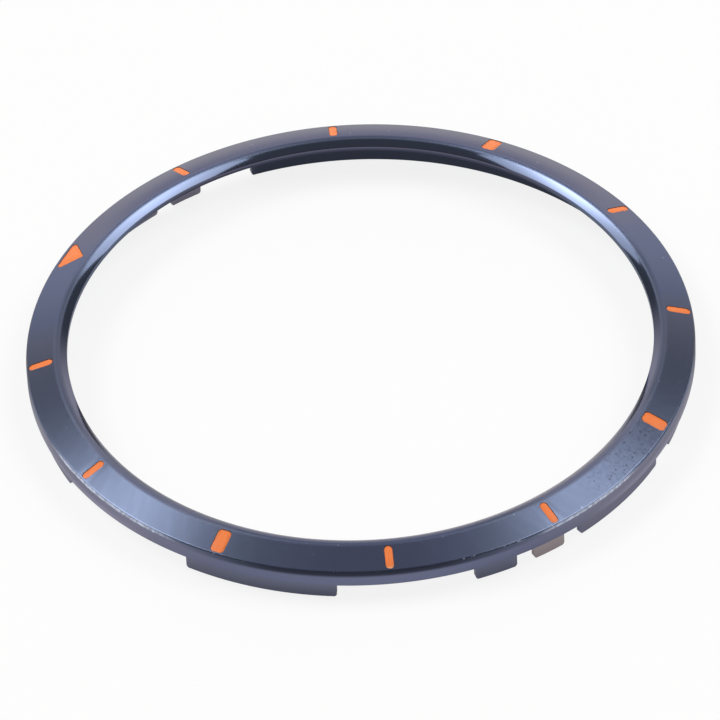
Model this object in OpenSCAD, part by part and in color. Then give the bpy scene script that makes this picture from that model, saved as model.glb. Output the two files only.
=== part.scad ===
// Watch bezel: a one-piece metal ring with a conical face, twelve engraved hour marks
// filled with lacquer, and a row of tabs under its outer band.
// Millimetres. The tab tips stand on z = 0, the face looks up, 12 o'clock is towards +Y.

/* [Ring] */
// Outer diameter of the ring
ring_d = 42; // [30:0.1:50]
// Plan width of the ring, from its opening to its outer face
ring_w = 2.6; // [2.2:0.05:4]
// Fall of the conical face, from level
face_angle = 17.9; // [10:0.1:22]
// Plan width of the bevel between the opening and the ridge
bevel_w = 0.56; // [0.4:0.01:0.7]
// Slope of that bevel, from level
bevel_angle = 36; // [20:1:45]
// Radius that rounds the ridge between bevel and face
ridge_r = 0.28; // [0.05:0.01:0.35]
// Metal between the face and the flat underside, where the tabs' inner face comes up to it
seat_wall = 0.3; // [0.25:0.01:0.4]

/* [Band and tabs] */
// Height of the outer band, from the tabs up to where its line meets the face's
band_h = 1.11; // [0.95:0.01:1.6]
// Radius that rounds the top of the band
shoulder_r = 0.46; // [0.2:0.01:1]
// Angle through which that round turns, from the band up to the face
shoulder_turn = 58; // [20:1:65]
// Height of the tabs below the band
tab_h = 1.31; // [0.6:0.01:2.5]
// How far the tabs' outer face lies inside the band's
tab_setback = 0.41; // [0.1:0.01:0.6]
// Wall of the tabs
tab_t = 0.34; // [0.2:0.01:0.5]
// Radius on the lower corners of the tabs
tip_corner_r = 0.25; // [0.05:0.01:0.3]
// Width of the small bevels on the band's lower edge and the tabs' tips
edge_break = 0.04; // [0.01:0.01:0.08]

/* [Hour marks] */
// Distance from the slots and bars to the band's outer face
mark_edge_gap = 0.16; // [0.13:0.01:0.4]
// Distance from the slots and bars to the ridge
mark_ridge_gap = 0.36; // [0.3:0.01:0.6]
// Width of the eight slots
slot_w = 0.53; // [0.3:0.01:0.9]
// Width of the bars at 3, 6 and 9
bar_w = 0.91; // [0.6:0.01:1.5]
// Corner radius of the bars
bar_corner_r = 0.26; // [0.05:0.01:0.28]
// Width of the triangle at 12, at its outer side, before its corners are rounded
triangle_w = 3; // [1.6:0.05:3.2]
// Distance from the triangle's outer side to the band's outer face
triangle_edge_gap = 0.26; // [0.2:0.01:0.4]
// Distance from the triangle's point to the ridge, before its corners are rounded
triangle_ridge_gap = 0.42; // [0.3:0.01:0.6]
// Corner radius of the triangle
triangle_corner_r = 0.2; // [0.05:0.01:0.25]
// Depth of the engraving below the face
engrave_depth = 0.15; // [0.08:0.01:0.18]
// How far the lacquer lies below the face
lacquer_sink = 0.03; // [0.03:0.01:0.06]

/* [Hidden] */

// Notches between the tabs, in degrees clockwise from 12 o'clock, [from, to]
notches = [[24.5, 27.8], [34.1, 44.4], [177.4, 182.6], [204.3, 207.9],
           [214.1, 217.5], [225.2, 249.2], [276.4, 306.2]];
hours = 12;
hour_step = 360 / hours;
ring_colour = [0.24, 0.27, 0.38];
lacquer_colour = [0.94, 0.50, 0.27];
arc_steps = 8;      // flats in each small arc of the ring's outline
cut_past = 1;       // how far a cutter runs past the metal
corner_past = 0.2;  // the same, for the cutter of a tab's corner
corner_lap = 0.005; // how far that cutter's round starts off the tab's faces
$fn = 96;

ring_r = ring_d / 2;
bore_r = ring_r - ring_w;
face_w = ring_w - bevel_w;
tab_out_r = ring_r - tab_setback;
tab_in_r = tab_out_r - tab_t;
edge_z = tab_h + band_h;                                    // where band and face would meet
ridge = [ring_r - face_w, face_z(ring_r - face_w)];         // where face and bevel would meet
lip_z = ridge.y - bevel_w * tan(bevel_angle);               // the top of the lip at the opening
seat_z = face_z(tab_in_r) - seat_wall;                      // the flat underside
shoulder_end_r = ring_r - shoulder_r * (1 - cos(shoulder_turn));  // where the band's round meets the face
mark_len = face_w - mark_edge_gap - mark_ridge_gap;
mark_mid_r = ring_r - mark_edge_gap - mark_len / 2;
triangle_h = face_w - triangle_edge_gap - triangle_ridge_gap;
triangle_out_r = ring_r - triangle_edge_gap;

// Height of the conical face at a radius, before its edges are rounded
function face_z(r) = edge_z + (ring_r - r) * tan(face_angle);

// The direction at an angle above +X
function heading(angle) = [cos(angle), sin(angle)];

// Centre of the arc that rounds a corner between two lines with the given outward directions
function blend_centre(corner, out_a, out_b, r) = corner - r / (1 + out_a * out_b) * (out_a + out_b);

// Points of an arc, from one angle to another
function arc(centre, r, from, to) =
    [for (i = [0:arc_steps]) centre + r * heading(from + (to - from) * i / arc_steps)];

// The ring's section, radius against height, with a tab under the band
module ring_section() {
    bevel_out = 90 + bevel_angle;
    face_out = 90 - face_angle;
    ridge_centre = blend_centre(ridge, heading(bevel_out), heading(face_out), ridge_r);
    shoulder_centre = [ring_r - shoulder_r, face_z(shoulder_end_r) - shoulder_r * sin(shoulder_turn)];
    polygon(concat(
        [[bore_r, seat_z], [bore_r, lip_z]],
        arc(ridge_centre, ridge_r, bevel_out, face_out),
        arc(shoulder_centre, shoulder_r, shoulder_turn, 0),
        [[ring_r, tab_h + edge_break], [ring_r - edge_break, tab_h], [tab_out_r, tab_h],
         [tab_out_r, edge_break], [tab_out_r - edge_break, 0],
         [tab_in_r + edge_break, 0], [tab_in_r, edge_break], [tab_in_r, seat_z]]));
}

// What goes from a tab's lower corner to round it, along the radius. The tab lies towards +Y.
module corner_cut() {
    past = corner_past;
    r = tip_corner_r;
    translate([tab_in_r - cut_past, -corner_lap, -corner_lap])
        rotate([90, 0, 90])
            linear_extrude(tab_t + 2 * cut_past)
                polygon(concat([[-past, r], [-past, -past], [r, -past]], arc([r, r], r, 270, 180)));
}

// The space between two tabs, with the tabs' lower corners rounded
module notch(from, to) {
    rotate([0, 0, 90 - to])
        rotate_extrude(angle = to - from)
            translate([tab_in_r - cut_past, -cut_past])
                square([tab_t + 2 * cut_past, tab_h + cut_past]);
    rotate([0, 0, 90 - from]) corner_cut();
    rotate([0, 0, 90 - to]) mirror([0, 1, 0]) corner_cut();
}

// A flat outline with every corner rounded
module rounded(r) {
    offset(r, $fn = 32) offset(delta = -r) children();
}

// A slot with round ends, along +Y
module slot_outline() {
    run = mark_len - slot_w;
    square([slot_w, run], center = true);
    for (side = [-1, 1]) translate([0, side * run / 2]) circle(d = slot_w);
}

// A bar with rounded corners, along +Y
module bar_outline() {
    rounded(bar_corner_r) square([bar_w, mark_len], center = true);
}

// A triangle whose blunt point looks at the opening
module triangle_outline() {
    half_w = triangle_w / 2;
    rounded(triangle_corner_r) polygon([[half_w, 0], [-half_w, 0], [0, -triangle_h]]);
}

// The outline of an hour's mark, at its place on the face
module mark_outline(hour) {
    rotate(-hour * hour_step)
        if (hour == 0) translate([0, triangle_out_r]) triangle_outline();
        else if (hour % 3 == 0) translate([0, mark_mid_r]) bar_outline();
        else translate([0, mark_mid_r]) slot_outline();
}

// A layer that follows the conical face, between two depths below it
module face_layer(top, bottom) {
    inner = ridge.x - cut_past;
    outer = ring_r + cut_past;
    rotate_extrude()
        polygon([[inner, face_z(inner) - bottom], [outer, face_z(outer) - bottom],
                 [outer, face_z(outer) - top], [inner, face_z(inner) - top]]);
}

// What lies inside an hour's mark, between two depths below the face
module mark_layer(hour, top, bottom) {
    intersection() {
        linear_extrude(2 * ridge.y) mark_outline(hour);
        face_layer(top, bottom);
    }
}

module bezel_ring() {
    color(ring_colour)
        difference() {
            rotate_extrude() ring_section();
            for (span = notches) notch(span[0], span[1]);
            for (hour = [0:hours - 1]) mark_layer(hour, -cut_past, engrave_depth);
        }
}

module lacquer_fill(hour) {
    color(lacquer_colour) mark_layer(hour, lacquer_sink, engrave_depth);
}

bezel_ring();
for (hour = [0:hours - 1])
    lacquer_fill(hour);
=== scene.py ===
"""Watch bezel: a coated metal ring with lacquered hour marks, laid on a pale table."""
import math

import bmesh
import bpy
from bpy.props import FloatProperty, FloatVectorProperty, PointerProperty
from mathutils import Matrix, Vector


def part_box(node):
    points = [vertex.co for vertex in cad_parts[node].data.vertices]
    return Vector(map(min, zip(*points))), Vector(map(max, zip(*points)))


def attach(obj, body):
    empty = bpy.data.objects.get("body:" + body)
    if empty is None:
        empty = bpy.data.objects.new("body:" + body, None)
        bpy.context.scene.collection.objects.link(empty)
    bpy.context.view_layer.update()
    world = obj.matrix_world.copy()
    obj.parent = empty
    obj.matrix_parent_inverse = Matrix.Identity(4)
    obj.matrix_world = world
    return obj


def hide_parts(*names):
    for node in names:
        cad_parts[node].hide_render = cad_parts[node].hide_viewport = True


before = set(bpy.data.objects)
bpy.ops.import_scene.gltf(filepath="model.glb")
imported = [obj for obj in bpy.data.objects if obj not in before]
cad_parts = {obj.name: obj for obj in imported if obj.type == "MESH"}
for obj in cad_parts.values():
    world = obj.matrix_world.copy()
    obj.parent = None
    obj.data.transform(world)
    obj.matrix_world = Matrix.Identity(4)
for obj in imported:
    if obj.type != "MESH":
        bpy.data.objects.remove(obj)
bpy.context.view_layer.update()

bl_info = {
    "name": "Watch Bezel",
    "version": (1, 0, 0),
    "blender": (4, 5, 0),
    "location": "View3D > Sidebar > Bezel",
    "description": "Builds a watch bezel with lacquered hour marks and its studio",
    "category": "Object",
}

MM = 0.001
DEGREES = 180 / math.pi     # in a radian
WHITE = (1.0, 1.0, 1.0)
BLACK = (0.0, 0.0, 0.0)

RING_LOW, RING_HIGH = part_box("bezel_ring")
RING_RADIUS = round((RING_HIGH[0] - RING_LOW[0]) / 2, 6)

HOURS = 12
HOUR_TURN = math.tau / HOURS
MARK_KINDS = ("triangle", "bar", "slot")
NOTCHES = ((24.5, 27.8), (34.1, 44.4), (177.4, 182.6), (204.3, 207.9),
           (214.1, 217.5), (225.2, 249.2), (276.4, 306.2))   # degrees clockwise from 12

NEAR_TURN = math.radians(63.135)    # from the side at 6 o'clock to the ring's near side
NEAR_SIDE = (-math.sin(NEAR_TURN), -math.cos(NEAR_TURN))

# Flats
RING_FLATS = 360
ROUND_FLATS = 10            # in a round of the ring's section, unless it has its own count
SHOULDER_FLATS = 12
EDGE_FLATS = 7
RIM_FLATS = 6
LIP_FLATS = 5
TAB_CORNER_FLATS = 8
TAB_FLAT_DEGREES = 3        # of the clock, in each flat of a tab's block
MARK_FLATS = 64             # in all the corners of a mark
FILL_EDGE_FLATS = 3

# Cutters and edges
PAST = 0.6 * MM             # how far a cutter runs past the metal
TIP_LAP = 0.004 * MM        # how far a tab's block starts below the tips
SAME_PLACE = 0.0005 * MM    # two points nearer than this are one
SAME_CLOCK = 0.05           # degrees, and so are two places on the clock
FILL_EDGE = 0.04 * MM       # round of the lacquer's top edge
RING_SMOOTH = math.radians(14)
FILL_SMOOTH = math.radians(40)
FACE_WEIGHT = 90            # how far large faces rule the ring's shading


def length(name, description, millimetres):
    return FloatProperty(name=name, description=description, default=millimetres * MM,
                         min=0.0, precision=6, unit="LENGTH")


def slope(name, description, degrees):
    return FloatProperty(name=name, description=description, default=math.radians(degrees),
                         min=0.0, max=math.pi / 2, subtype="ANGLE", unit="ROTATION")


def colour(name, description, value):
    return FloatVectorProperty(name=name, description=description, default=value,
                               size=3, min=0.0, max=1.0, subtype="COLOR")


class BezelSizes(bpy.types.PropertyGroup):
    """Sizes of the ring, its tabs and its marks"""
    ring_radius: FloatProperty(name="Ring radius", description="Outer radius of the band",
                               default=RING_RADIUS, precision=6, unit="LENGTH")
    ring_width: length("Ring width", "From the opening to the outer face", 2.6)
    face_angle: slope("Face angle", "Fall of the conical face, from level", 17.9)
    bevel_width: length("Bevel width", "From the opening to the ridge", 0.56)
    bevel_angle: slope("Bevel angle", "Slope of the inner bevel, from level", 36)
    ridge_round: length("Ridge round", "Radius of the ridge between bevel and face", 0.45)
    seat_wall: length("Seat wall", "Metal between the face and the flat underside", 0.3)
    edge_height: length("Edge height", "Where the lines of band and face would meet", 2.42)
    shoulder_round: length("Shoulder round", "Radius of the top of the band", 0.6)
    shoulder_turn: slope("Shoulder turn", "Angle of that round, from the band up", 30)
    rim_round: length("Rim round", "Radius where the face breaks into that round", 0.12)
    tab_height: length("Tab height", "Height of the tabs below the band", 1.31)
    tab_setback: length("Tab setback", "From the band's face in to the tabs' face", 0.41)
    tab_wall: length("Tab wall", "Thickness of the tabs", 0.34)
    tab_round: length("Tab round", "Radius of the tabs' lower corners", 0.25)
    edge_round: length("Edge round", "Radius of the band's and the tabs' small edges", 0.04)
    mark_outer_gap: length("Mark outer gap", "From slots and bars to the band's face", 0.16)
    mark_inner_gap: length("Mark inner gap", "From slots and bars to the ridge", 0.36)
    slot_width: length("Slot width", "Width of the narrow marks", 0.53)
    bar_width: length("Bar width", "Width of the wide marks", 0.91)
    bar_round: length("Bar round", "Corner radius of the wide marks", 0.26)
    triangle_width: length("Triangle width", "Outer side, before its corners are rounded", 3.0)
    triangle_outer_gap: length("Triangle outer gap", "From its side to the band's face", 0.26)
    triangle_inner_gap: length("Triangle inner gap", "From its point to the ridge", 0.42)
    triangle_round: length("Triangle round", "Corner radius of the triangle", 0.2)
    engraving: length("Engraving", "Depth of the pockets below the face", 0.15)
    lacquer_sink: length("Lacquer sink", "How far the lacquer lies below the face", 0.03)


class BezelColours(bpy.types.PropertyGroup):
    """Colours of the coat, the lacquer and the table"""
    coat: colour("Coat", "Blue vapour coat on the metal", (0.128, 0.156, 0.238))
    bare: colour("Bare metal", "Metal where the coat has worn off", (0.74, 0.82, 1.0))
    lacquer: colour("Lacquer", "Lacquer in the hour marks", (0.90, 0.215, 0.050))
    table: colour("Table", "Table top", (0.88, 0.88, 0.88))


# Shapes

def start_clean():
    """Leave edit mode and select nothing."""
    if bpy.context.object and bpy.context.object.mode != "OBJECT":
        bpy.ops.object.mode_set(mode="OBJECT")
    bpy.ops.object.select_all(action="DESELECT")


def choose(piece):
    """Select this piece alone and make it the active one."""
    start_clean()
    bpy.context.view_layer.objects.active = piece
    piece.select_set(True)


def edit(piece):
    choose(piece)
    bpy.ops.object.mode_set(mode="EDIT")


def settle(piece):
    """Put the piece's place, turn and scale into its mesh."""
    choose(piece)
    bpy.ops.object.transform_apply(location=True, rotation=True, scale=True)


def smooth(piece, angle):
    """Shade smooth over the edges that turn by less than an angle."""
    choose(piece)
    bpy.ops.object.shade_smooth_by_angle(angle=angle)


def dress(piece, material):
    piece.data.materials.clear()
    piece.data.materials.append(material)


def pick(test, kind="VERT"):
    """Select the vertices or edges that pass a test, in edit mode."""
    bpy.ops.mesh.select_all(action="DESELECT")
    bpy.ops.mesh.select_mode(type=kind)
    mesh = bmesh.from_edit_mesh(bpy.context.object.data)
    for item in {"VERT": mesh.verts, "EDGE": mesh.edges}[kind]:
        if test(item):
            item.select_set(True)
    mesh.select_flush_mode()
    bmesh.update_edit_mesh(bpy.context.object.data)


def turn_faces_out():
    """Point every face of the piece in edit mode outwards."""
    bpy.ops.mesh.select_all(action="SELECT")
    bpy.ops.mesh.normals_make_consistent(inside=False)


def on_mesh(piece, modifier_type, **settings):
    """Add a modifier, set it and apply it."""
    choose(piece)
    bpy.ops.object.modifier_add(type=modifier_type)
    modifier = piece.modifiers[-1]
    for name, value in settings.items():
        setattr(modifier, name, value)
    bpy.ops.object.modifier_apply(modifier=modifier.name)


def combine(piece, tool, operation):
    """Cut a piece with a tool, or keep what both share, and use the tool up."""
    on_mesh(piece, "BOOLEAN", operation=operation, solver="EXACT", object=tool)
    bpy.data.objects.remove(tool)


def join(name, pieces):
    start_clean()
    for piece in pieces:
        piece.select_set(True)
    bpy.context.view_layer.objects.active = pieces[0]
    bpy.ops.object.join()
    pieces[0].name = name
    return pieces[0]


def copy_turned(piece, name, hour):
    """A copy with its own mesh, turned clockwise from 12 o'clock to an hour."""
    choose(piece)
    bpy.ops.object.duplicate(linked=False)
    copy = bpy.context.object
    copy.name = name
    copy.data.name = name
    copy.rotation_euler.z = -hour * HOUR_TURN
    settle(copy)
    return copy


def turn_ring(name, section):
    """Pull a circle through the points of a section and close it to a solid ring."""
    start_clean()
    radius, height = section[0]
    bpy.ops.mesh.primitive_circle_add(vertices=RING_FLATS, radius=radius, fill_type="NOTHING",
                                      location=(0, 0, height))
    ring = bpy.context.object
    ring.name = name
    edit(ring)
    bpy.ops.mesh.select_mode(type="EDGE")
    bpy.ops.mesh.select_all(action="SELECT")
    for next_radius, next_height in section[1:]:
        bpy.ops.mesh.extrude_edges_move(
            TRANSFORM_OT_translate={"value": (0, 0, next_height - height)})
        scale = next_radius / radius
        bpy.ops.transform.resize(value=(scale, scale, 1), center_override=(0, 0, 0))
        radius, height = next_radius, next_height
    bpy.ops.mesh.select_all(action="DESELECT")
    bpy.ops.mesh.select_non_manifold()
    bpy.ops.mesh.bridge_edge_loops()
    turn_faces_out()
    settle(ring)
    return ring


def clock_of(place):
    """Degrees clockwise from 12 o'clock, from 0 to 360."""
    return math.degrees(math.atan2(place.x, place.y)) % 360


def same_clock(first, second):
    return abs((first - second + 180) % 360 - 180) < SAME_CLOCK


def tab_block(start, end, sizes):
    """A block round one tab, swept between two clock angles, with its lower ends rounded."""
    start_clean()
    inner = sizes.ring_radius - sizes.tab_setback - sizes.tab_wall - PAST
    outer = sizes.ring_radius + PAST
    bottom = -TIP_LAP
    top = sizes.tab_height + PAST
    bpy.ops.mesh.primitive_plane_add(size=1, rotation=(math.pi / 2, 0, 0),
                                     location=((inner + outer) / 2, 0, (bottom + top) / 2))
    block = bpy.context.object
    block.scale = (outer - inner, top - bottom, 1)
    settle(block)
    block.rotation_euler.z = math.radians(90 - start)
    settle(block)
    edit(block)
    bpy.ops.mesh.select_all(action="SELECT")
    bpy.ops.mesh.spin(steps=max(3, round((end - start) / TAB_FLAT_DEGREES)),
                      angle=math.radians(end - start), center=(0, 0, 0), axis=(0, 0, 1))
    turn_faces_out()

    def at_lower_end(edge):
        places = [vert.co for vert in edge.verts]
        low = all(place.z < bottom + SAME_PLACE for place in places)
        return low and any(all(same_clock(clock_of(place), side) for place in places)
                           for side in (start, end))

    pick(at_lower_end, "EDGE")
    bpy.ops.mesh.bevel(offset=sizes.tab_round, segments=TAB_CORNER_FLATS, affect="EDGES")
    start_clean()
    return block


def rounded_prism(name, corners, radius, low, high):
    """An upright prism whose outline runs round circles at the given corners."""
    start_clean()
    bpy.ops.mesh.primitive_cylinder_add(vertices=MARK_FLATS, radius=radius, depth=high - low,
                                        location=(0, 0, (low + high) / 2))
    prism = bpy.context.object
    prism.name = name
    settle(prism)
    edit(prism)
    middle = sum((Vector(corner) for corner in corners), Vector((0, 0))) / len(corners)
    # a quarter of a flat, so that no point lies halfway between two corners
    lean = Matrix.Rotation(math.tau / MARK_FLATS / 4, 2)

    def corner_of(vert):
        way = lean @ vert.co.xy
        return max(range(len(corners)), key=lambda index: way.dot(Vector(corners[index]) - middle))

    mesh = bmesh.from_edit_mesh(prism.data)
    owners = [corner_of(vert) for vert in mesh.verts]
    for index, corner in enumerate(corners):
        pick(lambda vert: owners[vert.index] == index)
        bpy.ops.transform.translate(value=(corner[0], corner[1], 0))
    start_clean()
    return prism


def arc(centre, radius, start, end, flats=ROUND_FLATS):
    """Points of an arc, with its angles above the outward direction."""
    angles = [start + (end - start) * step / flats for step in range(flats + 1)]
    return [(centre[0] + radius * math.cos(angle), centre[1] + radius * math.sin(angle))
            for angle in angles]


def blend(corner, out_a, out_b, radius, flats=ROUND_FLATS):
    """The arc that rounds a corner between sides with the given outward angles."""
    reach = radius / math.cos((out_a - out_b) / 2)
    middle = (out_a + out_b) / 2
    centre = (corner[0] - reach * math.cos(middle), corner[1] - reach * math.sin(middle))
    return arc(centre, radius, out_a, out_b, flats)


class Layout:
    """Measures of the ring that follow from its sizes."""

    def __init__(self, sizes):
        self.sizes = sizes
        self.ring = sizes.ring_radius
        self.bore = self.ring - sizes.ring_width
        face_width = sizes.ring_width - sizes.bevel_width
        self.ridge = self.ring - face_width
        self.ridge_height = self.face_height(self.ridge)
        self.lip_height = self.ridge_height - sizes.bevel_width * math.tan(sizes.bevel_angle)
        self.tab_outer = self.ring - sizes.tab_setback
        self.tab_inner = self.tab_outer - sizes.tab_wall
        self.seat_height = self.face_height(self.tab_inner) - sizes.seat_wall
        self.shoulder_end = self.ring - sizes.shoulder_round * (1 - math.cos(sizes.shoulder_turn))
        self.shoulder_centre = (self.ring - sizes.shoulder_round,
                                self.face_height(self.shoulder_end)
                                - sizes.shoulder_round * math.sin(sizes.shoulder_turn))
        rim_break = math.pi / 2 - sizes.face_angle - sizes.shoulder_turn
        self.rim_turn = sizes.rim_round * math.tan(rim_break / 2) / sizes.shoulder_round

    def face_height(self, radius):
        """Height of the conical face before its edges are rounded."""
        return self.sizes.edge_height + (self.ring - radius) * math.tan(self.sizes.face_angle)

    def section(self):
        """The ring's section with a tab, as (radius, height), from the seat round to the tab."""
        sizes = self.sizes
        up, down, out, inward = math.pi / 2, -math.pi / 2, 0.0, math.pi
        bevel_out = up + sizes.bevel_angle
        face_out = up - sizes.face_angle
        edge = sizes.edge_round
        return ([(self.bore, self.seat_height)]
                + blend((self.bore, self.lip_height), inward, bevel_out, edge, LIP_FLATS)
                + blend((self.ridge, self.ridge_height), bevel_out, face_out, sizes.ridge_round)
                + blend((self.shoulder_end, self.face_height(self.shoulder_end)),
                        face_out, sizes.shoulder_turn, sizes.rim_round, RIM_FLATS)
                + arc(self.shoulder_centre, sizes.shoulder_round,
                      sizes.shoulder_turn - self.rim_turn, out, SHOULDER_FLATS)
                + blend((self.ring, sizes.tab_height), out, down, edge, EDGE_FLATS)
                + [(self.tab_outer, sizes.tab_height)]
                + blend((self.tab_outer, 0), out, down, edge, EDGE_FLATS)
                + blend((self.tab_inner, 0), down, -inward, edge, EDGE_FLATS)
                + [(self.tab_inner, self.seat_height)])

    def face_layer(self, top, bottom):
        """The section of a layer that follows the face, between two depths below it."""
        inner, outer = self.ridge - PAST, self.ring + PAST
        high, low = self.face_height(inner), self.face_height(outer)
        return [(inner, high - bottom), (outer, low - bottom), (outer, low - top),
                (inner, high - top)]

    def mark_outline(self, kind):
        """The centres of a mark's rounded corners, at 12 o'clock, and their radius."""
        sizes = self.sizes
        outer = self.ring - sizes.mark_outer_gap
        inner = self.ridge + sizes.mark_inner_gap
        if kind == "slot":
            radius = sizes.slot_width / 2
            return [(0, outer - radius), (0, inner + radius)], radius
        if kind == "bar":
            radius = sizes.bar_round
            side = sizes.bar_width / 2 - radius
            return [(-side, outer - radius), (side, outer - radius),
                    (side, inner + radius), (-side, inner + radius)], radius
        radius = sizes.triangle_round
        base = self.ring - sizes.triangle_outer_gap
        half = sizes.triangle_width / 2
        tall = base - (self.ridge + sizes.triangle_inner_gap)
        tilt = math.atan2(tall, half)
        side = half - radius / math.tan(tilt / 2)
        return [(-side, base - radius), (side, base - radius),
                (0, base - tall + radius / math.cos(tilt))], radius

    def mark(self, kind, top, bottom):
        """What lies inside a mark at 12 o'clock, between two depths below the face."""
        corners, radius = self.mark_outline(kind)
        prism = rounded_prism("mark_" + kind, corners, radius, 0, 2 * self.ridge_height)
        combine(prism, turn_ring("layer", self.face_layer(top, bottom)), "INTERSECT")
        return prism


def mark_kind(hour):
    if hour == 0:
        return "triangle"
    return "bar" if hour % 3 == 0 else "slot"


def mark_name(hour):
    return f"{mark_kind(hour)}_{hour or HOURS:02d}"


# Finishes

class Signal:
    """The output of a shader node, for use in sums."""

    def __init__(self, bench, socket):
        self.bench = bench
        self.socket = socket

    def __add__(self, other):
        return self.bench.math("ADD", self, other)

    def __radd__(self, other):
        return self.bench.math("ADD", other, self)

    def __sub__(self, other):
        return self.bench.math("SUBTRACT", self, other)

    def __rsub__(self, other):
        return self.bench.math("SUBTRACT", other, self)

    def __mul__(self, other):
        return self.bench.math("MULTIPLY", self, other)

    def __rmul__(self, other):
        return self.bench.math("MULTIPLY", other, self)

    def __truediv__(self, other):
        return self.bench.math("DIVIDE", self, other)

    def __rtruediv__(self, other):
        return self.bench.math("DIVIDE", other, self)


class Bench:
    """Makes the nodes of one material, lamp or world."""

    def __init__(self, owner):
        owner.use_nodes = True
        self.tree = owner.node_tree
        self.tree.nodes.clear()

    def node(self, kind, settings, inputs, output=0):
        """Add a node of a type, set it, then fill its sockets with values or links."""
        made = self.tree.nodes.new("ShaderNode" + kind)
        for name, value in settings.items():
            setattr(made, name, value)
        for name, value in inputs.items():
            socket = made.inputs[name]
            if isinstance(value, Signal):
                self.tree.links.new(value.socket, socket)
            elif socket.type == "RGBA":
                socket.default_value = (*value, 1)
            else:
                socket.default_value = value
        return Signal(self, made.outputs[output]) if made.outputs else None

    def math(self, operation, *values):
        return self.node("Math", {"operation": operation}, dict(enumerate(values)))

    def larger(self, first, second):
        return self.math("MAXIMUM", first, second)

    def vector(self, operation, *values):
        return self.node("VectorMath", {"operation": operation}, dict(enumerate(values)))

    def mix(self, factor, first, second, blend_type="MIX"):
        """One colour laid over another."""
        return self.node("Mix", {"data_type": "RGBA", "blend_type": blend_type},
                         {0: factor, 6: first, 7: second}, output=2)

    def step(self, value, low, high):
        """0 at low and 1 at high, which may be the smaller, with a smooth way between them."""
        return self.node("MapRange", {"interpolation_type": "SMOOTHSTEP"},
                         {"Value": value, "From Min": low, "From Max": high})

    def near(self, value, centre, half, soft):
        """1 within half of a centre, falling smoothly to 0 over soft."""
        return 1 - self.step(self.math("ABSOLUTE", value - centre), half, half + soft)

    def noise(self, where, scale, detail, roughness=0.5):
        return self.node("TexNoise", {}, {"Vector": where, "Scale": scale, "Detail": detail,
                                          "Roughness": roughness})

    def dots(self, where, scale, size, picked):
        """Soft dots, one in each cell of a pattern, in the share of cells that is picked."""
        distance, chance = (self.node("TexVoronoi", {"voronoi_dimensions": "2D"},
                                      {"Vector": where, "Scale": scale}, output)
                            for output in ("Distance", "Color"))
        return (1 - self.step(distance, *size)) * self.step(chance, *picked)

    def place(self):
        """Object coordinates in millimetres."""
        where = self.node("TexCoord", {}, {}, output="Object")
        return self.vector("MULTIPLY", where, (1 / MM, 1 / MM, 1 / MM))

    def parts(self, vector):
        return [self.node("SeparateXYZ", {}, {0: vector}, output=axis) for axis in "XYZ"]

    def round_axis(self, x, y):
        """Radius, and degrees from -180 to 180 clockwise from 12 o'clock."""
        return self.math("SQRT", x * x + y * y), self.math("ARCTAN2", x, y) * DEGREES

    def bump(self, height, strength, depth):
        """Bump from a height, to a depth in millimetres."""
        return self.node("Bump", {}, {"Strength": strength, "Distance": depth * MM,
                                      "Height": height})

    def matt(self, base):
        """A surface with no gloss at all."""
        return self.node("BsdfPrincipled", {}, {"Base Color": base, "Roughness": 1.0,
                                                "Specular IOR Level": 0.0})


class Shade:
    """Linear colours of the coat by place, many of them painted reflections, highlights and shade,
    and of what shows in it.
    """
    CLOUD = (0.126, 0.154, 0.234)
    # painted reflection tones of the face, by side of the ring
    FACE_SIDES = (0.109, 0.148, 0.252)
    FAR_FACE = (0.086, 0.110, 0.195)
    FAR_RIM = (0.172, 0.205, 0.268)
    NEAREST_FACE = (0.140, 0.166, 0.275)
    # painted highlight along the far ridge
    FAR_RIDGE_HIGHLIGHT = (0.26, 0.32, 0.53)
    # painted reflection tone of the near band
    NEAR_BAND = (0.144, 0.157, 0.247)
    # painted dark reflection where the near shoulder turns down
    TURNED_EDGE_REFLECTION = (0.02, 0.023, 0.035)
    TAB = (0.172, 0.184, 0.254)
    # painted reflection tones of the band and tabs at the sides, lighter lower on the band
    BAND_SIDES = (0.245, 0.240, 0.325)
    LOW_BAND_SIDES = (0.355, 0.348, 0.465)
    BROWN_TAB = (0.42, 0.36, 0.36)
    # painted shade on the far lip wall, lighter at its top, and on the tabs' inner side
    LIP_WALL = (0.045, 0.050, 0.080)
    LIP_WALL_TOP = (0.100, 0.105, 0.155)
    SHADED_INSIDE = (0.02, 0.022, 0.03)
    PALE_INSIDE = (0.33, 0.305, 0.385)
    STREAK = (0.165, 0.200, 0.295)
    MOTTLE = (0.082, 0.100, 0.160)
    PIT = (0.016, 0.018, 0.03)
    GLANCING = (0.75, 0.75, 0.78)
    # colours of the matt layer's painted shade, highlights and reflection
    PLAIN_PAINTED_SHADE = (0.13, 0.135, 0.165)
    PALER_BEVEL_SHADE = (0.30, 0.28, 0.29)
    RIDGE_PAINTED_REFLECTION = (0.155, 0.170, 0.265)
    BRINK_PAINTED_HIGHLIGHT = (0.36, 0.35, 0.38)
    BAND_PAINTED_SHADE = (0.075, 0.083, 0.118)


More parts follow.
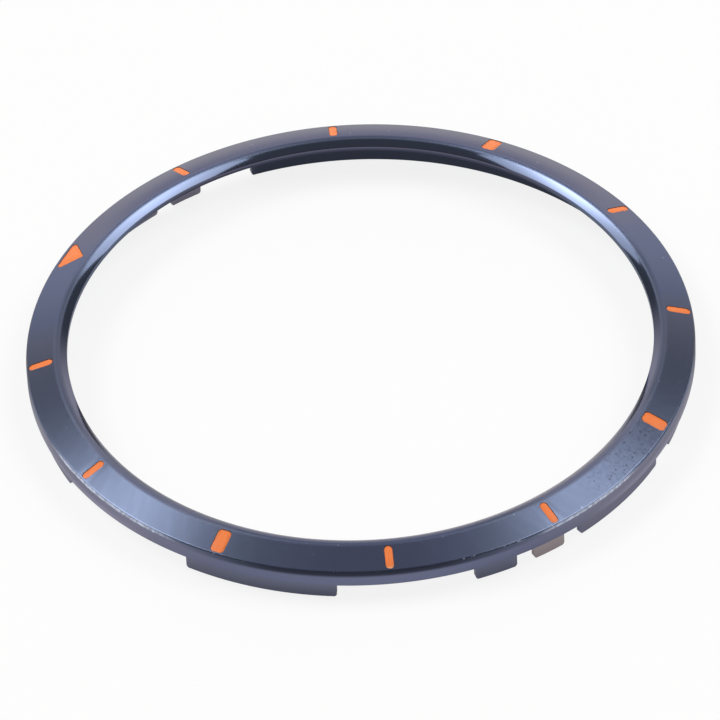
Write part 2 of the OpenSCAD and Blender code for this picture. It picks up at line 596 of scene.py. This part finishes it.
class CoatedMetal:
    """Blue vapour coat over metal, satin, with streaks, pits, specks and worn edges, and painted
    shade, reflections and highlights in its colour.

    Radius and height are in millimetres. The clock is in degrees from 12, clockwise. The roll is
    in degrees round the shoulder, from the band up. Nearness is 1 on the ring's near side and -1
    across it. A pair of numbers is where a mask is 0 and where it is 1. Three are the middle of a
    stretch, half its length, and its soft edge.
    """
    # By height
    SEAT = (2.36, 2.30)
    FACE_FOOT = (2.36, 2.42)
    RIDGE_FOOT = (2.7, 2.8)
    TURN_FOOT = (1.93, 2.20)
    TURN_TOP = (2.44, 2.37)
    LOW_BAND = (1.95, 1.45)
    LIP_FOOT = (2.35, 2.37)
    LIP_WALL = (2.42, 2.62)
    LIP_TOP = (2.58, 2.64)

    # By radius, or by how far out from the ridge
    FAR_RIM = (19.2, 20.8)
    RIDGE_LINE = (0.05, 0.05, 0.13)
    ROUGH_RIDGE = (0.05, 0.10, 0.25)
    RIDGE_PAINTED_REFLECTION = (0.12, 0.06, 0.20)
    BEVEL = (-0.08, -0.22)
    LIP = (-0.05, -0.25)
    BRINK = (-0.30, -0.50)
    BEVEL_FADE = (0, -0.1)

    # By nearness
    FACE_SIDES = (-0.28, 0.12, 0.15)
    FAR_FACE = (-0.5, -0.85)
    NEAREST_FACE = (1, 0.02, 0.06)
    FAR_RIDGE_HIGHLIGHT = (-0.66, 0.20, 0.18)
    NEAR_BAND = (1, 0.2, 0.15)
    BAND_SIDES = (0.52, 0.16, 0.25)
    LOW_BAND_SIDES = (0.45, 0.15, 0.20)
    FAR_LIP = (-0.55, -0.85)
    STREAKED = (0.1, 0.4)
    SIDES_PAINTED_SHADE = (-0.12, 0.10, 0.30)
    NEAR_LIP = (0.2, 0.6)
    NEAR_BRINK = (0.25, 0.45)
    NEAR_RIDGE = (0.63, 0.17, 0.14)

    # By the clock
    TURNED_FRONT = (-114.5, 12, 28)
    SHADED_INSIDE = (87, 41, 7)
    PALE_INSIDE = (25, 15, 6)
    BROWN_TAB = (-149, 3.1, 0.3)
    WORN_AT_10 = (-66, 10, 8)
    WORN_AT_7 = (-158, 5, 8)
    CHIPPED = (-144, 12, 8)
    PITTED = (-170, 7, 5)
    MOTTLED = (-171, 7, 9)
    PALE_BEVEL = (-154, 10, 18)

    # By roll
    WORN_EDGE = (18, 6, 6)
    CHIPPED_RIM = (25, 1.5, 4)

    # By a pattern's value
    CLOUDS = (0.35, 0.65)
    STREAKS = (0.42, 0.70)
    BLOTCHES = (0.46, 0.64)
    FRAYED = (0.44, 0.58)
    CHIPS = (0.66, 0.72)

    CLOCK_RUN = 0.3665          # millimetres of the rim in a degree of the clock
    ROLL_RUN = 0.0105           # and of the shoulder in a degree of its roll
    FRAY = 16                   # degrees of roll that the worn edge wanders by
    CHIP_BIAS = 0.09            # how much more often the chipped stretch is chipped
    STREAK_TURN, STREAK_LEAN, STREAK_RUN = 0.55, 0.9, 0.35

    SATIN = 0.253               # roughness of the coat
    GRAIN_ROUGHNESS = 0.03      # what each place adds to it or takes from it
    WORN_ROUGHNESS = 0.25
    BEVEL_POLISH = 0.176
    RIDGE_ROUGHNESS = 0.12
    WORN_METAL = 0.85           # how far worn metal loses its mirror
    PIT_DEPTH = 6.0             # depth of the pits against the grain's height

    WORN_LEAST = 0.4            # share of bare metal where the worn edge is thinnest
    CHIP_SHARE = 0.55           # shares of bare metal in the chips and the specks
    SPECK_SHARE = 0.22
    SIDES_PAINTED_SHADE_SHARE = 0.9      # shares of the matt layer's painted shade and highlights
    LIP_PAINTED_SHADE_SHARE = 0.5
    BRINK_PAINTED_HIGHLIGHT_SHARE = 0.75
    RIDGE_PAINTED_REFLECTION_SHARE = 0.8

    def __init__(self, colours, layout):
        self.colours = colours
        self.material = bpy.data.materials.new("coated_metal")
        self.bench = bench = Bench(self.material)
        self.place = bench.place()
        x, y, self.height = bench.parts(self.place)
        self.radius, self.clock = bench.round_axis(x, y)
        self.nearness = (x * NEAR_SIDE[0] + y * NEAR_SIDE[1]) / self.radius
        self.find_surfaces(layout)
        self.find_flaws()
        self.grain = bench.noise(self.place, scale=9.0, detail=4.0, roughness=0.6)
        # a matt layer mixed into the coat, whose colour carries painted shade, highlights and
        # reflections
        share, tint = self.painted_light_and_shade()
        surface = bench.node("MixShader", {}, {0: share, 1: self.satin_part(),
                                               2: bench.matt(tint)})
        bench.node("OutputMaterial", {}, {"Surface": surface})

    def find_surfaces(self, layout):
        """Masks of the ring's own surfaces, each with an edge a few hundredths of a millimetre
        soft, and the places that are measured from its ridge and its shoulder."""
        step, radius, height = self.bench.step, self.radius, self.height
        ring, bore, ridge, tab_inner, tab_top, shoulder_end = (
            value / MM for value in (layout.ring, layout.bore, layout.ridge, layout.tab_inner,
                                     layout.sizes.tab_height, layout.shoulder_end))
        centre_radius, centre_height = (value / MM for value in layout.shoulder_centre)
        self.from_ridge = radius - ridge
        self.roll = DEGREES * self.bench.math("ARCTAN2", height - centre_height,
                                              radius - centre_radius)
        self.tab = step(height, tab_top + 0.05, tab_top)
        self.band = step(radius, ring - 0.03, ring - 0.01) * (1 - self.tab)
        self.shoulder = (step(radius, shoulder_end - 0.03, shoulder_end)
                         * step(height, centre_height - 0.06, centre_height))
        self.outside = self.bench.larger(self.shoulder, self.band)
        self.face = step(radius, ridge, ridge + 0.1) * step(height, *self.FACE_FOOT)
        self.lip_wall = step(radius, bore + 0.06, bore + 0.02) * step(height, *self.LIP_FOOT)
        self.within = (step(radius, tab_inner + 0.06, tab_inner + 0.03)
                       * step(height, *self.SEAT))
        self.bevel_top = step(height, *self.LIP_TOP)

    def find_flaws(self):
        """Masks of worn and chipped metal, specks, pits and the mottling round the pits."""
        bench, near, step = self.bench, self.bench.near, self.bench.step
        along = bench.node("CombineXYZ", {}, {"X": self.clock * self.CLOCK_RUN,
                                              "Y": self.roll * self.ROLL_RUN, "Z": self.radius})
        fray = bench.noise(along, scale=4.0, detail=4.0, roughness=0.7)
        chip = bench.noise(along, scale=3.6, detail=3.0, roughness=0.6)
        stretches = bench.larger(near(self.clock, *self.WORN_AT_10),
                                 near(self.clock, *self.WORN_AT_7))
        edge = self.shoulder * near(self.roll + (fray - 0.5) * self.FRAY, *self.WORN_EDGE)
        rim = self.shoulder * near(self.roll, *self.CHIPPED_RIM)
        chips = near(self.clock, *self.CHIPPED) * self.CHIP_BIAS + chip
        frayed = self.WORN_LEAST + step(fray, *self.FRAYED) * (1 - self.WORN_LEAST)
        self.worn = bench.larger(edge * stretches * frayed,
                                 rim * step(chips, *self.CHIPS) * self.CHIP_SHARE)
        self.specks = self.face * bench.dots(self.place, scale=0.9, size=(0.03, 0.06),
                                             picked=(0.78, 0.79))
        self.pits = self.face * near(self.clock, *self.PITTED) * bench.dots(
            self.place, scale=2.35, size=(0.04, 0.24), picked=(0.45, 0.85))
        blotch = bench.noise(self.place, scale=3.2, detail=4.0, roughness=0.65)
        self.mottle = self.face * near(self.clock, *self.MOTTLED) * step(blotch, *self.BLOTCHES)

    def lay(self, under, mask, over, share=1.0):
        """Lay a colour over another where a mask says, whole or at a share of its strength."""
        return self.bench.mix(mask * share, under, over)

    def colour_face(self, coat):
        """Painted reflection tones by side: bluer at the sides, darker on the far face and warmer
        towards the far rim, lighter on the nearest face, and a pale painted highlight along the far
        ridge.
        """
        bench, face, nearness = self.bench, self.face, self.nearness
        coat = self.lay(coat, face * bench.near(nearness, *self.FACE_SIDES), Shade.FACE_SIDES)
        far = bench.mix(bench.step(self.radius, *self.FAR_RIM), Shade.FAR_FACE, Shade.FAR_RIM)
        coat = self.lay(coat, face * bench.step(nearness, *self.FAR_FACE), far)
        coat = self.lay(coat, face * bench.near(nearness, *self.NEAREST_FACE),
                        Shade.NEAREST_FACE)
        # painted highlight along the far ridge, where the lamps' reflection on the bevel spreads
        # onto the face
        ridge_line = (bench.near(self.from_ridge, *self.RIDGE_LINE)
                      * bench.step(self.height, *self.RIDGE_FOOT))
        return self.lay(coat, ridge_line * bench.near(nearness, *self.FAR_RIDGE_HIGHLIGHT),
                        Shade.FAR_RIDGE_HIGHLIGHT, share=0.5)

    def colour_outside(self, coat):
        """The band, with painted reflection tones by side and a painted dark reflection where the
        near shoulder turns down to it, and the tabs.
        """
        bench, band, tab, height = self.bench, self.band, self.tab, self.height
        # painted reflection tone on the band's near side
        coat = self.lay(coat, band * bench.near(self.nearness, *self.NEAR_BAND),
                        Shade.NEAR_BAND)
        # painted dark reflection along the near shoulder, where it turns down to the band
        turned = bench.step(height, *self.TURN_FOOT) * bench.step(height, *self.TURN_TOP)
        front = bench.near(self.clock, *self.TURNED_FRONT)
        coat = self.lay(coat, turned * front * self.outside, Shade.TURNED_EDGE_REFLECTION, share=0.92)
        coat = self.lay(coat, tab * (1 - self.within), Shade.TAB, share=0.9)
        # painted reflection tones, lighter, on the band and tabs at the sides and lower on the band
        sides = bench.larger(band, tab) * bench.near(self.nearness, *self.BAND_SIDES)
        coat = self.lay(coat, sides, Shade.BAND_SIDES, share=0.85)
        low_sides = (band * bench.near(self.nearness, *self.LOW_BAND_SIDES)
                     * bench.step(height, *self.LOW_BAND))
        coat = self.lay(coat, low_sides, Shade.LOW_BAND_SIDES, share=0.9)
        return self.lay(coat, tab * bench.near(self.clock, *self.BROWN_TAB),
                        Shade.BROWN_TAB, share=0.85)

    def colour_inside(self, coat):
        """The upright lip across the opening, with painted shade darkest below its edge, and the
        tabs' inner side, with painted shade and a paler stretch.
        """
        bench, within = self.bench, self.within
        # painted shade on the far lip wall, lighter towards its top
        lip = bench.mix(bench.step(self.height, *self.LIP_WALL),
                        Shade.LIP_WALL, Shade.LIP_WALL_TOP)
        coat = self.lay(coat, self.lip_wall * bench.step(self.nearness, *self.FAR_LIP), lip)
        # painted shade on the tabs' inner side across the opening
        coat = self.lay(coat, within * bench.near(self.clock, *self.SHADED_INSIDE),
                        Shade.SHADED_INSIDE, share=0.55)
        return self.lay(coat, within * bench.near(self.clock, *self.PALE_INSIDE),
                        Shade.PALE_INSIDE, share=0.9)

    def colour_flaws(self, coat):
        """Streaks and mottling in the coat, bare metal through it, and pits."""
        bench, clock, radius = self.bench, self.clock, self.radius
        across = bench.node("CombineXYZ", {}, {
            "X": clock * self.STREAK_TURN + radius * self.STREAK_LEAN,
            "Y": radius * self.STREAK_RUN})
        streak = bench.noise(across, scale=1.0, detail=4.0, roughness=0.6)
        streaked = self.face * bench.step(self.nearness, *self.STREAKED)
        coat = self.lay(coat, streaked * bench.step(streak, *self.STREAKS), Shade.STREAK, share=0.3)
        coat = self.lay(coat, self.mottle, Shade.MOTTLE, share=0.48)
        bare = bench.larger(self.worn, self.specks * self.SPECK_SHARE)
        return self.lay(bench.mix(bare, coat, self.colours.bare), self.pits, Shade.PIT, share=0.7)

    def satin_part(self):
        """The coat and the bare metal, as they reflect."""
        bench = self.bench
        cloud = bench.noise(self.place, scale=0.22, detail=3.0)
        coat = bench.mix(bench.step(cloud, *self.CLOUDS), self.colours.coat, Shade.CLOUD)
        # the coat's colour, with painted reflections, highlights and shade laid in by place
        coat = self.colour_inside(self.colour_outside(self.colour_face(coat)))
        roughness = (self.SATIN + (self.grain - 0.5) * self.GRAIN_ROUGHNESS
                     + self.worn * self.WORN_ROUGHNESS
                     - self.BEVEL_POLISH * bench.step(self.from_ridge, *self.BEVEL)
                     + self.RIDGE_ROUGHNESS * bench.near(self.from_ridge, *self.ROUGH_RIDGE))
        relief = bench.bump(self.grain - self.pits * self.PIT_DEPTH, strength=0.018, depth=0.002)
        return bench.node("BsdfPrincipled", {}, {
            "Base Color": self.colour_flaws(coat), "Metallic": 1 - self.worn * self.WORN_METAL,
            "Roughness": roughness, "Specular Tint": Shade.GLANCING, "Normal": relief})

    def painted_light_and_shade(self):
        """The share and the colour of a matt layer that paints shade where the coat curves away at
        the sides and on the near bevel, a highlight along the near brink and a soft reflection on
        the near ridge."""
        bench, nearness, bevel_top = self.bench, self.nearness, self.bevel_top
        # painted shade where the shoulder and band curve away at the sides
        sides = self.outside * bench.near(nearness, *self.SIDES_PAINTED_SHADE) * self.SIDES_PAINTED_SHADE_SHARE
        # painted shade on the near bevel towards the lip
        lip = (bench.step(self.from_ridge, *self.LIP)
               * bench.step(nearness, *self.NEAR_LIP) * bevel_top * self.LIP_PAINTED_SHADE_SHARE)
        # painted highlight along the near brink of the opening
        brink = (bench.step(self.from_ridge, *self.BRINK)
                 * bench.step(nearness, *self.NEAR_BRINK) * bevel_top)
        # painted soft reflection on the near ridge, in place of its sharp light and dark lines
        ridge = (bench.near(self.from_ridge, *self.RIDGE_PAINTED_REFLECTION) * bevel_top
                 * bench.near(nearness, *self.NEAR_RIDGE) * self.RIDGE_PAINTED_REFLECTION_SHARE)
        near_bevel = bench.larger(lip, brink * self.BRINK_PAINTED_HIGHLIGHT_SHARE)
        share = bench.larger(sides, bench.larger(near_bevel, ridge))

        # a paler stretch of the near bevel's painted shade
        pale = (bevel_top * bench.near(self.clock, *self.PALE_BEVEL)
                * bench.step(self.from_ridge, *self.BEVEL_FADE))
        tint = bench.mix(pale, Shade.PLAIN_PAINTED_SHADE, Shade.PALER_BEVEL_SHADE)
        # colour of the ridge's painted reflection
        tint = bench.mix(ridge, tint, Shade.RIDGE_PAINTED_REFLECTION)
        # lighter colour of the brink's painted highlight
        tint = self.lay(tint, brink, Shade.BRINK_PAINTED_HIGHLIGHT, share=0.8)
        # the band's painted shade at the sides
        tint = bench.mix(self.band * (1 - self.shoulder), tint, Shade.BAND_PAINTED_SHADE)
        return share, tint


def lacquer(colours):
    """Orange lacquer, semi-gloss, slightly cloudy, pale at one mark's outer end."""
    cloud_colour, pale_colour = (0.92, 0.235, 0.060), (0.93, 0.56, 0.32)
    mark_at_8, outer_end, pale_share = (-120, 1.5, 0.5), (20.66, 20.76), 0.6
    material = bpy.data.materials.new("lacquer")
    bench = Bench(material)
    place = bench.place()
    radius, clock = bench.round_axis(*bench.parts(place)[:2])
    cloud = bench.noise(place, scale=3.0, detail=3.0)
    base = bench.mix(bench.step(cloud, 0.3, 0.7), colours.lacquer, cloud_colour)
    pale = bench.near(clock, *mark_at_8) * bench.step(radius, *outer_end)
    base = bench.mix(pale * pale_share, base, pale_colour)
    ripple = bench.noise(place, scale=4.0, detail=3.0)
    shader = bench.node("BsdfPrincipled", {}, {
        "Base Color": base, "Roughness": 0.4, "Specular IOR Level": 0.35,
        "Normal": bench.bump(ripple, strength=0.2, depth=0.004)})
    bench.node("OutputMaterial", {}, {"Surface": shader})
    return material


def table_top(colours):
    """Pale table, near white to the camera and lit up in reflections, which keeps its shadow."""
    fibre_colour = (0.90, 0.90, 0.90)
    seen_white, reflected_white = 0.85, 0.3     # shares that don't depend on the light
    material = bpy.data.materials.new("table_top")
    bench = Bench(material)
    seen, reflected, bent = (bench.node("LightPath", {}, {}, output=name) for name in
                             ("Is Camera Ray", "Is Glossy Ray", "Is Transmission Ray"))
    share = bench.larger(seen * seen_white, bench.larger(reflected, bent) * reflected_white)
    fibre = bench.noise(bench.node("TexCoord", {}, {}, output="Object"), scale=40.0, detail=3.0)
    matt = bench.matt(bench.mix(fibre, colours.table, fibre_colour))
    white = bench.node("Emission", {}, {"Color": WHITE, "Strength": 1.0})
    # the matt share still darkens where the ring stands on the table
    shown = bench.node("MixShader", {}, {0: share, 1: matt, 2: white})
    bench.node("OutputMaterial", {}, {"Surface": shown})
    return material


# Operators

class BEZEL_OT_stage(bpy.types.Operator):
    """Set the camera, the table, the lamps and the room"""
    bl_idname = "bezel.stage"
    bl_label = "Build stage"

    # The camera looks at a target from a height above level. Lens and sensor are in millimetres.
    TARGET = Vector((-1.962, -0.909, 2.744)) * MM
    HEIGHT = math.radians(42.143)
    ROLL = math.radians(-2.808)
    REACH = 461.78 * MM
    LENS = 369.63
    SENSOR = 36
    CLIP_START = 0.01

    TABLE_SIZE = 12

    # Lamps turn from the near side, in degrees, and are sized in metres. Each is brightest at
    # its centre, and fades over its spread to a share of that at its rim.
    LAMP_REACH = 2.5
    LAMPS = (
        {"name": "lamp_left", "turn": -104.3, "height": 47.1, "size": (1.775, 1.670),
         "radiance": 9.9, "rim": 0.15, "spread": 0.378, "centre": (-0.113, 0.233)},
        {"name": "lamp_right", "turn": 100.1, "height": 51.7, "size": (1.850, 1.660),
         "radiance": 5.55, "rim": 0.32, "spread": 0.448, "centre": (0.043, 0.140)},
    )

    ROOM_LIGHT = (0.205, 0.20, 0.205)
    WALL_LIGHT = (1.37, 1.157, 1.07)
    WALL_FADE = (0.65, 0.89)        # how far across the table the wall starts and is full
    GLOW_LIGHT = (0.055, 0.055, 0.06)
    GLOW_BACK = 0.3                 # how far the glow overhead leans across the table
    GLOW_SPREAD = 0.15

    def execute(self, context):
        toward = Vector((*NEAR_SIDE, 0))
        side = Vector((-toward.y, toward.x, 0))
        self.set_camera(context)
        self.set_table(context)
        for lamp in self.LAMPS:
            turn, height = math.radians(lamp["turn"]), math.radians(lamp["height"])
            level = toward * math.cos(turn) + side * math.sin(turn)
            way = level * math.cos(height) + Vector((0, 0, math.sin(height)))
            self.set_lamp(context, lamp, way * self.LAMP_REACH)
        self.set_room(context, toward, side)
        context.scene.view_settings.view_transform = "Standard"
        return {"FINISHED"}

    def set_camera(self, context):
        level = math.cos(self.HEIGHT)
        back = Vector((NEAR_SIDE[0] * level, NEAR_SIDE[1] * level, math.sin(self.HEIGHT)))
        turn = (-back).to_track_quat("-Z", "Y").to_matrix() @ Matrix.Rotation(self.ROLL, 3, "Z")
        start_clean()
        bpy.ops.object.camera_add(location=self.TARGET + back * self.REACH,
                                  rotation=turn.to_euler())
        camera = context.object
        camera.name = "camera"
        camera.data.lens = self.LENS
        camera.data.sensor_width = self.SENSOR
        camera.data.clip_start = self.CLIP_START
        context.scene.camera = camera

    def set_table(self, context):
        start_clean()
        bpy.ops.mesh.primitive_plane_add(size=self.TABLE_SIZE)
        table = context.object
        table.name = "table_top"
        table.data.materials.append(table_top(context.scene.bezel_colours))

    def set_lamp(self, context, settings, place):
        """A soft box that is brightest at one place and fades towards its rim."""
        start_clean()
        bpy.ops.object.light_add(type="AREA", location=place,
                                 rotation=(-place).to_track_quat("-Z", "Y").to_euler())
        lamp = context.object
        lamp.name = settings["name"]
        lamp.visible_camera = False
        width, tall = settings["size"]
        lamp.data.shape = "RECTANGLE"
        lamp.data.size = width
        lamp.data.size_y = tall
        lamp.data.energy = math.pi * settings["radiance"] * width * tall
        bench = Bench(lamp.data)
        across, up, _ = bench.parts(bench.node("NewGeometry", {}, {}, output="Parametric"))
        right, high = settings["centre"]
        across = (across - 0.5) * width - right
        up = (up - 0.5) * tall - high
        fade = bench.math("EXPONENT",
                          (across * across + up * up) / (-2 * settings["spread"] ** 2))
        rim_light = (settings["rim"],) * 3
        glow = bench.node("Emission", {}, {"Color": bench.mix(fade, rim_light, WHITE),
                                           "Strength": 1.0})
        bench.node("OutputLight", {}, {"Surface": glow})

    def set_room(self, context, toward, side):
        """A dim room, white to the camera, with a pale wall across the table and a faint glow."""
        world = bpy.data.worlds.new("room")
        context.scene.world = world
        bench = Bench(world)
        x, y, _ = bench.parts(bench.node("TexCoord", {}, {}, output="Generated"))
        near = x * toward.x + y * toward.y
        across = x * side.x + y * side.y
        wall = bench.step(0 - near, *self.WALL_FADE)
        back = near + self.GLOW_BACK
        fade = bench.math("EXPONENT", (back * back + across * across) / -self.GLOW_SPREAD)
        light = bench.mix(wall, self.ROOM_LIGHT, self.WALL_LIGHT)
        light = bench.mix(1.0, light, bench.mix(fade, BLACK, self.GLOW_LIGHT), "ADD")
        seen = bench.node("LightPath", {}, {}, output="Is Camera Ray")
        dim = bench.node("Background", {}, {"Color": light, "Strength": 1.0})
        white = bench.node("Background", {}, {"Color": WHITE, "Strength": 1.0})
        shown = bench.node("MixShader", {}, {0: seen, 1: dim, 2: white})
        bench.node("OutputWorld", {}, {"Surface": shown})


class BEZEL_OT_ring(bpy.types.Operator):
    """Turn the ring, notch its tabs and engrave its pockets"""
    bl_idname = "bezel.ring"
    bl_label = "Build ring"

    def execute(self, context):
        layout = Layout(context.scene.bezel_sizes)
        ring = turn_ring("bezel_body", layout.section())
        combine(ring, self.notch_tool(layout), "DIFFERENCE")
        combine(ring, self.pocket_tool(layout), "DIFFERENCE")
        smooth(ring, RING_SMOOTH)
        on_mesh(ring, "WEIGHTED_NORMAL", keep_sharp=True, weight=FACE_WEIGHT)
        dress(ring, CoatedMetal(context.scene.bezel_colours, layout).material)
        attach(ring, "root")
        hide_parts("bezel_ring")
        return {"FINISHED"}

    def notch_tool(self, layout):
        """The space between the tabs: a ring below the band, less a block for each tab."""
        sizes = layout.sizes
        inner, outer = layout.tab_inner - PAST / 2, layout.ring + PAST / 2
        tool = turn_ring("notch_tool", [(inner, -PAST), (outer, -PAST),
                                        (outer, sizes.tab_height), (inner, sizes.tab_height)])
        blocks = []
        for index, (_, start) in enumerate(NOTCHES):
            end = NOTCHES[(index + 1) % len(NOTCHES)][0]
            blocks.append(tab_block(start, end if end > start else end + 360, sizes))
        combine(tool, join("tab_blocks", blocks), "DIFFERENCE")
        return tool

    def pocket_tool(self, layout):
        """The cutters of all twelve pockets."""
        first = {kind: layout.mark(kind, -PAST, layout.sizes.engraving) for kind in MARK_KINDS}
        cutters = [copy_turned(first[mark_kind(hour)], "cutter", hour) for hour in range(HOURS)]
        for piece in first.values():
            bpy.data.objects.remove(piece)
        return join("pocket_tool", cutters)


class BEZEL_OT_lacquer(bpy.types.Operator):
    """Fill the twelve pockets with lacquer"""
    bl_idname = "bezel.lacquer"
    bl_label = "Build lacquer"

    def execute(self, context):
        layout = Layout(context.scene.bezel_sizes)
        finish = lacquer(context.scene.bezel_colours)
        first = {kind: self.fill(layout, kind) for kind in MARK_KINDS}
        for hour in range(HOURS):
            name = mark_name(hour)
            piece = copy_turned(first[mark_kind(hour)], "fill_" + name, hour)
            dress(piece, finish)
            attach(piece, "root")
            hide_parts("lacquer_" + name)
        for piece in first.values():
            bpy.data.objects.remove(piece)
        return {"FINISHED"}

    def fill(self, layout, kind):
        """One fill at 12 o'clock, with the edge of its top rounded."""
        def looks_up(face):
            return face.normal.z > 0.5

        def stands(face):
            return abs(face.normal.z) < 0.1

        piece = layout.mark(kind, layout.sizes.lacquer_sink, layout.sizes.engraving)
        edit(piece)
        pick(lambda edge: any(map(looks_up, edge.link_faces))
             and any(map(stands, edge.link_faces)), "EDGE")
        bpy.ops.mesh.bevel(offset=FILL_EDGE, segments=FILL_EDGE_FLATS, affect="EDGES")
        smooth(piece, FILL_SMOOTH)
        return piece


class BEZEL_PT_panel(bpy.types.Panel):
    """Steps that build the bezel"""
    bl_idname = "BEZEL_PT_panel"
    bl_label = "Watch Bezel"
    bl_space_type = "VIEW_3D"
    bl_region_type = "UI"
    bl_category = "Bezel"

    def draw(self, context):
        column = self.layout.column()
        for step in STEPS:
            column.operator(step.bl_idname)


STEPS = (BEZEL_OT_stage, BEZEL_OT_ring, BEZEL_OT_lacquer)
CLASSES = (BezelSizes, BezelColours, *STEPS, BEZEL_PT_panel)


def register():
    for item in CLASSES:
        bpy.utils.register_class(item)
    bpy.types.Scene.bezel_sizes = PointerProperty(type=BezelSizes)
    bpy.types.Scene.bezel_colours = PointerProperty(type=BezelColours)


def unregister():
    del bpy.types.Scene.bezel_colours
    del bpy.types.Scene.bezel_sizes
    for item in reversed(CLASSES):
        bpy.utils.unregister_class(item)


def main():
    register()
    bpy.ops.bezel.stage()
    bpy.ops.bezel.ring()
    bpy.ops.bezel.lacquer()


if __name__ == "__main__":
    main()
